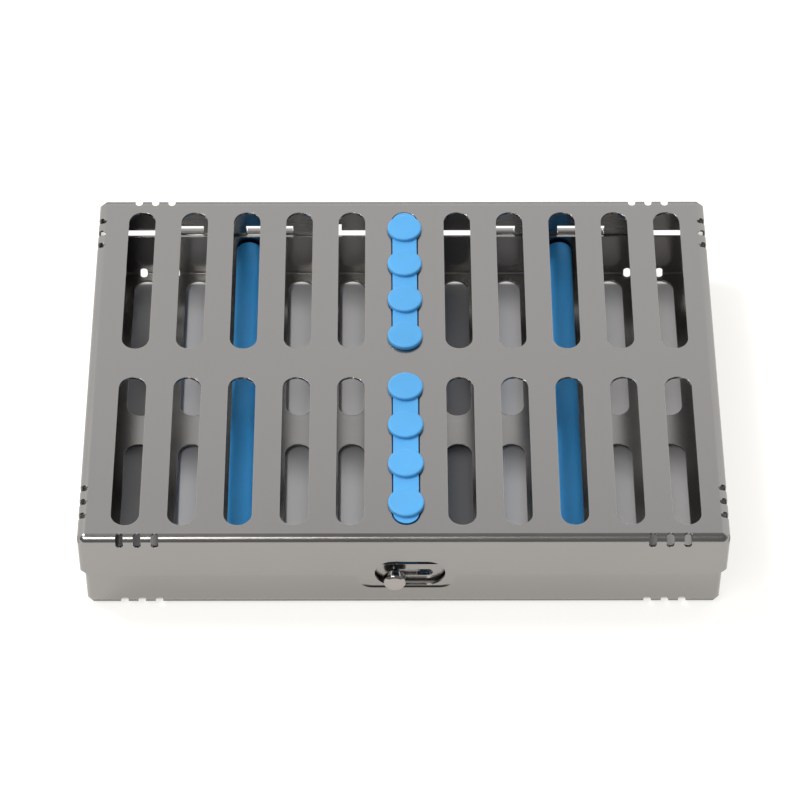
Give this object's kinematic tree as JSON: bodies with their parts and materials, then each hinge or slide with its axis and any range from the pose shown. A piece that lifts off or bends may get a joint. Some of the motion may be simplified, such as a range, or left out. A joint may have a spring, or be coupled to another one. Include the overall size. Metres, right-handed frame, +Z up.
{
  "type": "dental instrument cassette",
  "caption": "Perforated steel case with a hinged lid, silicone rails and hold-downs, and a sliding knob latch, for holding dental instruments through sterilising.",
  "frame": {"origin": "middle of the underside, on the surface that the round buttons stand on", "axes": "+X along the cassette, +Y from the latch at the front to the hinges at the rear, +Z up"},
  "size_m": [0.203, 0.1524, 0.0375],
  "materials": {
    "steel": "satin",
    "bright_steel": "polished",
    "silicone": "satin"
  },
  "bodies": {
    "base": {"base_tray": "steel", "instrument_rail_left": "silicone", "instrument_rail_right": "silicone", "hinge_base_leaf_left": "steel", "hinge_pin_left": "bright_steel", "hinge_base_leaf_right": "steel", "hinge_pin_right": "bright_steel", "latch_guide": "steel"},
    "lid": {"lid_tray": "steel", "hold_down_rear": "silicone", "hold_down_front": "silicone", "hinge_lid_leaf_left": "steel", "hinge_lid_leaf_right": "steel"},
    "latch": {"latch_knob": "bright_steel", "latch_slide_plate": "steel", "latch_washer": "bright_steel"}
  },
  "joints": [
    {"name": "lid_hinge", "type": "hinge", "parent": "base", "child": "lid", "pos_m": [0, 0.0738, 0.0179], "axis": [-1, 0, 0], "range_deg": [0, 170]},
    {"name": "latch_slide", "type": "slide", "parent": "base", "child": "latch", "axis": [1, 0, 0], "range_m": [0, 0.0105]}
  ]
}
